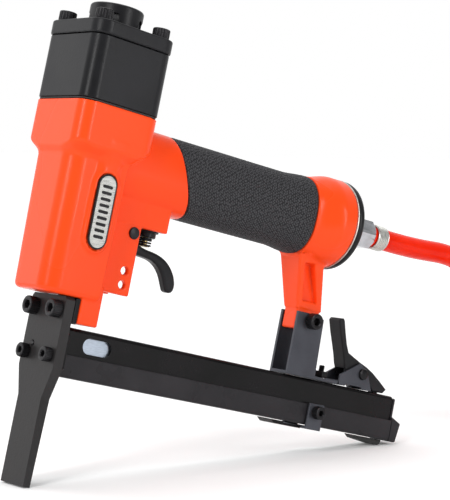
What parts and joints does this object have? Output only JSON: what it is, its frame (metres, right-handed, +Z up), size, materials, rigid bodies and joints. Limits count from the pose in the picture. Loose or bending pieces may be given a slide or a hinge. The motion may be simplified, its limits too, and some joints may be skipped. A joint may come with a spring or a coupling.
{
  "type": "pneumatic staple gun",
  "caption": "Long-nose pneumatic upholstery stapler with a sprung trigger, sliding rear-loading magazine, latch lever, piston drive and air hose.",
  "frame": {"origin": "on the floor, under the middle of the standing tool without its hose", "axes": "+X from the nose towards the hose, +Y across the tool to its left side, +Z up; the tool stands on its nose tip and rear foot"},
  "size_m": [0.5221, 0.1033, 0.2289],
  "materials": {
    "red_enamel": "gloss orange-red enamel over die-cast metal",
    "black_coating": "satin black coating",
    "nose_steel": "dark grey phosphated steel, matt",
    "screw_steel": "black oxide steel",
    "blued_steel": "blue-grey hardened sheet steel, satin",
    "grip_rubber": "matt black moulded rubber with a fine pebble",
    "seal_rubber": "matt black rubber",
    "chrome_plate": "bright nickel-chrome plating",
    "bright_alloy": "fine turned alloy",
    "badge_metal": "brushed bright badge with a black border",
    "staple_wire": "galvanised wire",
    "spring_steel": "bright spring steel",
    "valve_brass": "turned brass",
    "hose_orange": "glossy orange-red polyurethane"
  },
  "bodies": {
    "housing": {"body_casting": "red_enamel", "cylinder_head": "black_coating", "exhaust_cover": "black_coating", "exhaust_deflector": "black_coating", "magazine_cover": "black_coating", "slide_leaf": "black_coating", "handle_end_cap": "black_coating", "nose_plate": "nose_steel", "head_screw_1": "screw_steel", "head_screw_2": "screw_steel", "head_screw_3": "screw_steel", "head_screw_4": "screw_steel", "nose_screw_left": "screw_steel", "nose_screw_right": "screw_steel", "magazine_screw_left": "screw_steel", "magazine_screw_right": "screw_steel", "nose_dowel": "screw_steel", "driver_guide": "screw_steel", "strap_screw": "screw_steel", "bracket_screw": "screw_steel", "bracket_stud": "screw_steel", "stud_nut": "screw_steel", "latch_pin": "screw_steel", "trigger_pin": "screw_steel", "support_bracket": "blued_steel", "latch_bracket": "blued_steel", "strap": "blued_steel", "grip_sleeve": "grip_rubber", "head_gasket": "seal_rubber", "liner_seal": "seal_rubber", "bumper": "seal_rubber", "trigger_valve_seal": "seal_rubber", "hose_tie": "seal_rubber", "inlet_fitting": "chrome_plate", "cylinder_liner": "bright_alloy", "end_cap_seal": "bright_alloy", "hose_ferrule": "bright_alloy", "badge_plate": "badge_metal", "head_valve_spring": "spring_steel", "latch_spring": "spring_steel", "trigger_spring": "spring_steel", "trigger_valve_body": "valve_brass", "hose_plug": "valve_brass", "hose_run": "hose_orange", "hose_hank": "hose_orange"},
    "trigger": {"trigger": "black_coating"},
    "valve_stem": {"trigger_valve_stem": "valve_brass"},
    "drive": {"piston": "bright_alloy", "piston_ring": "seal_rubber", "driver_blade": "spring_steel"},
    "head_valve": {"head_valve": "black_coating"},
    "magazine_slide": {"magazine_slide": "black_coating", "magazine_end_block": "black_coating", "staple_rail": "bright_alloy", "staple_strip": "staple_wire", "pusher_spring": "spring_steel", "rear_foot": "seal_rubber"},
    "pusher": {"staple_pusher": "nose_steel"},
    "latch": {"latch_lever": "black_coating"}
  },
  "joints": [
    {"name": "trigger_pull", "type": "hinge", "parent": "housing", "child": "trigger", "pos_m": [-0.06132, 0, 0.11821], "axis": [0, -1, 0], "range_deg": [0, 12], "stiffness_Nm_per_rad": 0.5, "springref_deg": -11.46},
    {"name": "valve_stem_lift", "type": "slide", "parent": "housing", "child": "valve_stem", "axis": [0.2197, 0, 0.9756], "range_m": [0, 0.0031], "deforming": ["trigger_spring"]},
    {"name": "drive_stroke", "type": "slide", "parent": "housing", "child": "drive", "axis": [-0.2197, 0, -0.9756], "range_m": [0, 0.074]},
    {"name": "head_valve_lift", "type": "slide", "parent": "housing", "child": "head_valve", "axis": [0.2197, 0, 0.9756], "range_m": [0, 0.005], "stiffness_N_per_m": 800, "springref_m": -0.004, "deforming": ["head_valve_spring"]},
    {"name": "magazine_open", "type": "slide", "parent": "housing", "child": "magazine_slide", "axis": [0.9756, 0, -0.2197], "range_m": [0, 0.12]},
    {"name": "pusher_feed", "type": "slide", "parent": "magazine_slide", "child": "pusher", "axis": [0.9756, 0, -0.2197], "range_m": [0, 0.095], "stiffness_N_per_m": 20, "springref_m": -0.1, "deforming": ["pusher_spring"]},
    {"name": "latch_release", "type": "hinge", "parent": "housing", "child": "latch", "pos_m": [0.09476, 0, 0.0398], "axis": [0, -1, 0], "range_deg": [0, 15], "stiffness_Nm_per_rad": 0.3, "springref_deg": -11.46, "deforming": ["latch_spring"]}
  ],
  "couplings": [
    {"joint": "valve_stem_lift", "follows": "trigger_pull", "m_per_rad": 0.0143}
  ]
}
